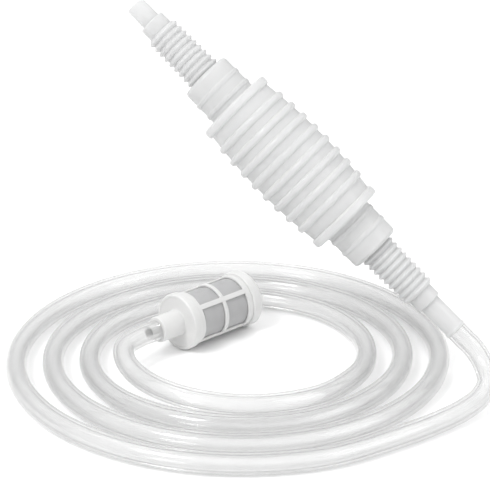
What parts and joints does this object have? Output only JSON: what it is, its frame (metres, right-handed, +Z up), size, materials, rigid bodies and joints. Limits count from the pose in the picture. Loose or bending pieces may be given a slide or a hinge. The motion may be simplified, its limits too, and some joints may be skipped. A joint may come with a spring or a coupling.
{
  "type": "hand siphon pump",
  "caption": "Hand siphon with a ribbed squeeze bulb, check valves at both ends, a coiled clear hose and a mesh strainer.",
  "frame": {"origin": "on the floor, under the middle of the pump and strainer", "axes": "+Z up, +X towards the hose end of the pump, +Y away from the coil's front"},
  "size_m": [0.2276, 0.2184, 0.1698],
  "materials": {
    "ldpe": "translucent blow-moulded LDPE",
    "white_plastic": "moulded white polyethylene",
    "ball": "smooth polypropylene",
    "hose": "clear flexible PVC",
    "mesh": "woven nylon mesh"
  },
  "bodies": {
    "base": {"hose": "hose", "inlet_sleeve": "ldpe", "inlet_collar": "ldpe", "inlet_neck": "ldpe", "inlet_chamber": "ldpe", "bulb": "ldpe", "inlet_valve_seat": "white_plastic", "inlet_valve_keeper": "white_plastic", "filter_front_cap": "white_plastic"},
    "outlet_end": {"outlet_chamber": "ldpe", "outlet_neck": "ldpe", "outlet_valve_seat": "white_plastic", "outlet_valve_keeper": "white_plastic"},
    "spout": {"outlet_collar": "ldpe", "outlet_spout": "ldpe"},
    "inlet_ball": {"inlet_valve_ball": "ball"},
    "outlet_ball": {"outlet_valve_ball": "ball"},
    "strainer": {"filter_cage": "white_plastic", "filter_mesh": "mesh", "filter_rear_cap": "white_plastic"}
  },
  "joints": [
    {"name": "bulb_squeeze", "type": "slide", "parent": "base", "child": "outlet_end", "axis": [0.703, -0.2607, -0.6617], "range_m": [0, 0.02], "stiffness_N_per_m": 800, "deforming": ["bulb"]},
    {"name": "outlet_neck_bend", "type": "hinge", "parent": "outlet_end", "child": "spout", "pos_m": [-0.05208, 0.01092, 0.14558], "axis": [0.3477, 0.9376, 0], "range_deg": [-35, 35], "deforming": ["outlet_neck"]},
    {"name": "inlet_ball_lift", "type": "slide", "parent": "base", "child": "inlet_ball", "axis": [-0.703, 0.2607, 0.6617], "range_m": [0, 0.003]},
    {"name": "outlet_ball_lift", "type": "slide", "parent": "outlet_end", "child": "outlet_ball", "axis": [-0.703, 0.2607, 0.6617], "range_m": [0, 0.003]},
    {"name": "strainer_pull", "type": "slide", "parent": "base", "child": "strainer", "axis": [0.73, 0.6834, 0], "range_m": [0, 0.005]}
  ]
}
